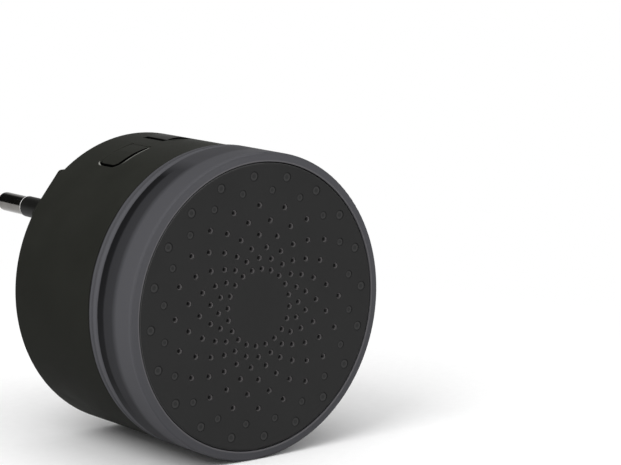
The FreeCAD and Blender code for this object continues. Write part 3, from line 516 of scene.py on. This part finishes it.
# metals: colour, roughness and the marks of how each was made
metals = {
    "pinNickel": {"dark": (0.160, 0.152, 0.144), "light": (0.215, 0.207, 0.196), "rough": (0.10, 0.16),
                  "along": "Y", "pitch": 0.14 * mm, "groove": 0.003 * mm, "edge": 0.10 * mm},
    "contactBrass": {"dark": (0.55, 0.36, 0.12), "light": (0.72, 0.52, 0.22), "rough": (0.22, 0.36),
                     "along": "X", "pitch": 0.25 * mm, "groove": 0.002 * mm, "edge": 0.08 * mm},
    "zincSteel": {"dark": (0.36, 0.36, 0.35), "light": (0.52, 0.52, 0.52), "rough": (0.26, 0.40),
                  "along": "X", "pitch": 0.30 * mm, "groove": 0.002 * mm, "edge": 0.10 * mm},
    "screwSteel": {"dark": (0.34, 0.34, 0.33), "light": (0.50, 0.50, 0.49), "rough": (0.20, 0.34),
                   "along": "Y", "pitch": 0.12 * mm, "groove": 0.002 * mm, "edge": 0.06 * mm},
    "windingCopper": {"dark": (0.46, 0.16, 0.07), "light": (0.66, 0.28, 0.13), "rough": (0.22, 0.32),
                      "along": "Y", "pitch": 0.16 * mm, "groove": 0.020 * mm, "edge": 0.05 * mm},
}
# turned or rolled lines across one axis, broken up by a little noise
metalwork = {"lines": {"Distortion": 2.5, "Detail": 2.0, "Detail Scale": 0.6}, "stain": (3 * mm, 4.0, 0.6),
             "specks": (0.3 * mm, 3.0), "speckle": (-0.03, 0.04), "edgePolish": 0.06}


def makeMetal(name, m):
    mat, tree, shader, coord = startMaterial(name)
    w = metalwork
    lines = fineLines(tree, coord, m["along"], m["pitch"], w["lines"])
    stain = noise(tree, coord, *w["stain"])
    specks = noise(tree, coord, *w["specks"])
    rounded = roundedNormal(tree, m["edge"])
    wear = calc(tree, "ADD", spread(tree, stain, *m["rough"]), spread(tree, specks, *w["speckle"]))
    feed(tree, shader, {
        "Base Color": blendColour(tree, spread(tree, stain, 0.0, 1.0), m["dark"], m["light"]),
        "Metallic": 1.0,
        "Roughness": calc(tree, "SUBTRACT", wear, product(tree, edgeMask(tree, rounded), w["edgePolish"])),
        "Normal": roughen(tree, lines, m["groove"], rounded),
    })
    return mat


for name, m in metals.items():
    materials[name] = makeMetal(name, m)
print("metals made:", len(metals))

# circuit board: green solder mask over copper tracks, with tinned pads
board = {"mask": (0.010, 0.085, 0.030), "overCopper": (0.020, 0.150, 0.055), "tin": (0.60, 0.60, 0.58),
         "trackPitch": 2.2 * mm, "trackEdge": (0.06, 0.09),
         "padPitch": 3.4 * mm, "padStray": 0.6, "padEdge": (0.16, 0.18),
         "clouds": (6 * mm, 3.0), "rough": (0.22, 0.36), "relief": 0.02 * mm, "padHeight": 2.0}


def makeBoard(b):
    mat, tree, shader, coord = startMaterial("boardGreen")
    tracks = put(tree, "ShaderNodeTexVoronoi", feature="DISTANCE_TO_EDGE")
    feed(tree, tracks, {"Vector": coord, "Scale": 1 / b["trackPitch"]})
    pads = put(tree, "ShaderNodeTexVoronoi", feature="F1")
    feed(tree, pads, {"Vector": coord, "Scale": 1 / b["padPitch"], "Randomness": b["padStray"]})
    copper = spread(tree, tracks.outputs["Distance"], 1.0, 0.0, *b["trackEdge"])
    tinned = spread(tree, pads.outputs["Distance"], 1.0, 0.0, *b["padEdge"])
    mask = blendColour(tree, copper, b["mask"], b["overCopper"])
    relief = calc(tree, "ADD", copper, product(tree, tinned, b["padHeight"]))
    feed(tree, shader, {
        "Base Color": blendColour(tree, tinned, mask, b["tin"]),
        "Metallic": tinned,
        "Roughness": spread(tree, noise(tree, coord, *b["clouds"]), *b["rough"]),
        "Normal": roughen(tree, relief, b["relief"]),
    })
    return mat


materials["boardGreen"] = makeBoard(board)

# sintered ferrite: dull grey with open pores and chipped edges
ferrite = {"dark": (0.028, 0.028, 0.031), "light": (0.060, 0.060, 0.064), "chip": (0.12, 0.12, 0.125),
           "pore": 0.35 * mm, "poreDepth": 0.02 * mm, "clouds": (2 * mm, 5.0, 0.65),
           "rough": (0.55, 0.75), "edge": 0.2 * mm}


def makeFerrite(f):
    mat, tree, shader, coord = startMaterial("ferriteGrey")
    pores = put(tree, "ShaderNodeTexVoronoi", feature="F1")
    feed(tree, pores, {"Vector": coord, "Scale": 1 / f["pore"]})
    clouds = noise(tree, coord, *f["clouds"])
    rounded = roundedNormal(tree, f["edge"])
    body = blendColour(tree, spread(tree, clouds, 0.0, 1.0), f["dark"], f["light"])
    feed(tree, shader, {
        "Base Color": blendColour(tree, product(tree, edgeMask(tree, rounded), clouds), body, f["chip"]),
        "Roughness": spread(tree, clouds, *f["rough"]),
        "Normal": roughen(tree, pores.outputs["Distance"], f["poreDepth"], rounded),
    })
    return mat


materials["ferriteGrey"] = makeFerrite(ferrite)
print("board and ferrite made")

# dust cloth behind the sound holes: a plain weave, as a thin stretched disc
cloth = {"radius": 21.3 * mm, "y": -56.72 * mm, "thick": 0.18 * mm, "rings": 24, "spokes": 144,
         "ripple": 0.02 * mm, "rippleTurns": (0.9, 0.8),  # radians per mm across and up
         "thread": 0.42 * mm, "weave": {"Distortion": 0.4, "Detail": 1.0}, "weaveDepth": 0.08 * mm,
         "warp": (0.0075, 0.0075, 0.0080), "weft": (0.0160, 0.0150, 0.0155),
         "fuzz": (0.12 * mm, 3.0), "fuzzShare": (0.6, 1.0), "rough": (0.8, 0.95), "sheen": 0.15}


def makeClothMaterial(c):
    mat, tree, shader, coord = startMaterial("clothBlack")
    threads = [fineLines(tree, coord, along, c["thread"], c["weave"]) for along in ("X", "Z")]
    over = calc(tree, "MAXIMUM", *threads)
    under = calc(tree, "MULTIPLY", *threads)
    fuzz = noise(tree, coord, *c["fuzz"])
    feed(tree, shader, {
        "Base Color": blendColour(tree, product(tree, over, spread(tree, fuzz, *c["fuzzShare"])),
                                  c["warp"], c["weft"]),
        "Roughness": spread(tree, fuzz, *c["rough"]),
        "Sheen Weight": c["sheen"],
        "Normal": roughen(tree, calc(tree, "SUBTRACT", over, under), c["weaveDepth"]),
    })
    return mat


def makeCloth(c):
    mesh = bpy.data.meshes.new("acoustic_cloth")
    bm = bmesh.new()
    hub = bm.verts.new((0.0, c["y"], axisZ))
    turnsX, turnsZ = c["rippleTurns"]
    rows = []
    for i in range(1, c["rings"] + 1):
        radius = c["radius"] * i / c["rings"]
        row = []
        for j in range(c["spokes"]):
            angle = 2 * math.pi * j / c["spokes"]
            x, z = radius * math.cos(angle), radius * math.sin(angle)
            lift = c["ripple"] * math.sin(x / mm * turnsX) * math.sin(z / mm * turnsZ)
            row.append(bm.verts.new((x, c["y"] + lift, axisZ + z)))
        rows.append(row)
    for j in range(c["spokes"]):
        k = (j + 1) % c["spokes"]
        bm.faces.new((hub, rows[0][j], rows[0][k]))
        for inner, outer in zip(rows, rows[1:]):
            bm.faces.new((inner[j], outer[j], outer[k], inner[k]))
    bmesh.ops.recalc_face_normals(bm, faces=bm.faces)
    for face in bm.faces:
        face.smooth = True
    bm.to_mesh(mesh)
    bm.free()
    obj = bpy.data.objects.new("acoustic_cloth", mesh)
    bpy.context.scene.collection.objects.link(obj)
    solid = obj.modifiers.new("thickness", "SOLIDIFY")
    solid.thickness = c["thick"]
    solid.offset = 0
    obj.data.materials.append(makeClothMaterial(c))
    return obj


acousticCloth = makeCloth(cloth)
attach(acousticCloth, "chime_body")
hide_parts("dust_cloth")
print("cloth made")

# which piece wears what
finishes = {
    "shellPlastic": ("main_housing", "rear_cover"),
    "keyPlastic": ("melody_key",),
    "ringSmoke": ("light_ring",),
    "grillePlastic": ("front_grille",),
    "innerPlastic": ("ring_carrier",),
    "knobPlastic": ("slider_knob",),
    "pinNickel": ("left_pin", "right_pin"),
    "sleevePlastic": ("left_pin_sleeve", "right_pin_sleeve"),
    "contactBrass": ("left_contact", "right_contact", "link_pins"),
    "boardGreen": ("main_board", "led_board", "radio_module"),
    "lampBody": ("status_leds",),
    "foamGrey": ("speaker_gasket",),
    "zincSteel": ("speaker_frame", "top_plate", "magnet_yoke"),
    "rollRubber": ("speaker_surround",),
    "conePaper": ("speaker_cone", "dust_cap"),
    "windingCopper": ("voice_coil",),
    "ferriteGrey": ("ring_magnet", "transformer_core"),
    "nylonBlack": ("tact_switch", "tact_plunger", "slide_switch", "switch_lever", "control_chip"),
    "wireRed": ("antenna_wire", "speaker_leads"),
    "tapeYellow": ("transformer_coil", "film_capacitor"),
    "sleeveBlue": ("filter_capacitor", "storage_capacitor", "fuse_resistor"),
    "screwSteel": ("front_screws", "cover_screws", "board_screws"),
}
dressed = set()
for finish, names in finishes.items():
    for name in names:
        data = nodes[name].data
        data.materials.clear()
        data.materials.append(materials[finish])
        dressed.add(name)
print("pieces dressed:", len(dressed), "left:", sorted(set(nodes) - dressed))

# floor: near white round the object, fading into the white background; it throws back less light
# than it shows
floor = {"radius": 4.0, "sides": 96, "gap": 0.05 * mm, "fade": (0.080, 0.19), "albedo": 0.94,
         "bounce": 0.42, "mottle": (2 * mm, 3.0), "mottleShare": (0.98, 1.0), "rough": 0.9, "gloss": 0.1}


def makeFloor(f):
    low, high = cadBox
    mesh = bpy.data.meshes.new("floor")
    bm = bmesh.new()
    bmesh.ops.create_circle(bm, cap_ends=True, segments=f["sides"], radius=f["radius"])
    bm.to_mesh(mesh)
    bm.free()
    obj = bpy.data.objects.new("floor", mesh)
    obj.location = ((low.x + high.x) / 2, (low.y + high.y) / 2, low.z - f["gap"])
    bpy.context.scene.collection.objects.link(obj)
    mat, tree, shader, coord = startMaterial("floorWhite")
    rays = put(tree, "ShaderNodeLightPath").outputs
    seen = calc(tree, "MAXIMUM", rays["Is Camera Ray"],
                calc(tree, "MAXIMUM", rays["Is Glossy Ray"], rays["Is Transmission Ray"]))
    level = product(tree, spread(tree, noise(tree, coord, *f["mottle"]), *f["mottleShare"]),
                    spread(tree, seen, f["bounce"], f["albedo"], 0.0, 1.0))
    feed(tree, shader, {"Base Color": level, "Roughness": f["rough"], "Specular IOR Level": f["gloss"]})
    away = spread(tree, vectors(tree, "LENGTH", coord), 0.0, 1.0, *f["fade"], smooth=True)
    white = put(tree, "ShaderNodeEmission")
    mixed = put(tree, "ShaderNodeMixShader")
    feed(tree, mixed, {0: product(tree, away, seen), 1: shader.outputs[0], 2: white.outputs[0]})
    tree.links.new(mixed.outputs[0], tree.nodes["Material Output"].inputs["Surface"])
    obj.data.materials.append(mat)


makeFloor(floor)
print("floor laid")

# studio: white behind the object, an even room a little lighter overhead, and soft lamps above and
# at both sides; mirrored in the metal are a pale card behind the object and a dark flag at its left
studio = {"room": 0.56, "ceiling": 0.64,
          "card": (0.62, 0.76, -0.17), "cardCone": (0.92, 0.985), "cardLevel": 0.4,
          "flag": (-0.50, 0.82, 0.28), "flagCone": (0.55, 0.75), "flagLevel": 0.04}
lamps = {
    "top": {"place": (-0.05, -0.24, 0.74), "size": 0.70, "watts": 1.9},
    "left": {"place": (-0.54, -0.22, 0.54), "size": 0.45, "watts": 3.4},
    "right": {"place": (0.55, -0.60, 0.35), "size": 0.45, "watts": 1.2},
}


def makeWorld(s):
    world = bpy.data.worlds.new("studio")
    world.use_nodes = True
    bpy.context.scene.world = world
    tree = world.node_tree
    tree.nodes.clear()
    coord = put(tree, "ShaderNodeTexCoord").outputs["Generated"]
    room = spread(tree, splitAxes(tree, coord)[2], s["room"], s["ceiling"], 0.0, 1.0)
    rays = put(tree, "ShaderNodeLightPath").outputs
    mirrored = calc(tree, "MAXIMUM", rays["Is Glossy Ray"], rays["Is Transmission Ray"])
    card = spread(tree, vectors(tree, "DOT_PRODUCT", coord, s["card"]),
                  0.0, 1.0, *s["cardCone"], smooth=True)
    white = calc(tree, "MAXIMUM", rays["Is Camera Ray"], product(tree, mirrored, card, s["cardLevel"]))
    flag = spread(tree, vectors(tree, "DOT_PRODUCT", coord, s["flag"]),
                  0.0, 1.0 - s["flagLevel"], *s["flagCone"])
    flagged = product(tree, room, calc(tree, "SUBTRACT", 1.0, product(tree, mirrored, flag)))
    level = put(tree, "ShaderNodeMix", data_type="FLOAT")
    feed(tree, level, {0: white, 2: flagged, 3: 1.0})
    light = put(tree, "ShaderNodeBackground")
    feed(tree, light, {"Color": (1.0, 1.0, 1.0, 1.0), "Strength": level.outputs[0]})
    out = put(tree, "ShaderNodeOutputWorld")
    tree.links.new(light.outputs[0], out.inputs[0])


def makeLamp(name, lamp):
    data = bpy.data.lights.new(name, "AREA")
    data.shape = "SQUARE"
    data.size = lamp["size"]
    data.energy = lamp["watts"]
    obj = bpy.data.objects.new(name, data)
    middle = (cadBox[0] + cadBox[1]) / 2
    obj.location = lamp["place"]
    obj.rotation_euler = (middle - Vector(lamp["place"])).to_track_quat("-Z", "Y").to_euler()
    bpy.context.scene.collection.objects.link(obj)


makeWorld(studio)
for name, lamp in lamps.items():
    makeLamp(name, lamp)
bpy.context.scene.view_settings.view_transform = "Standard"
print("studio lit")
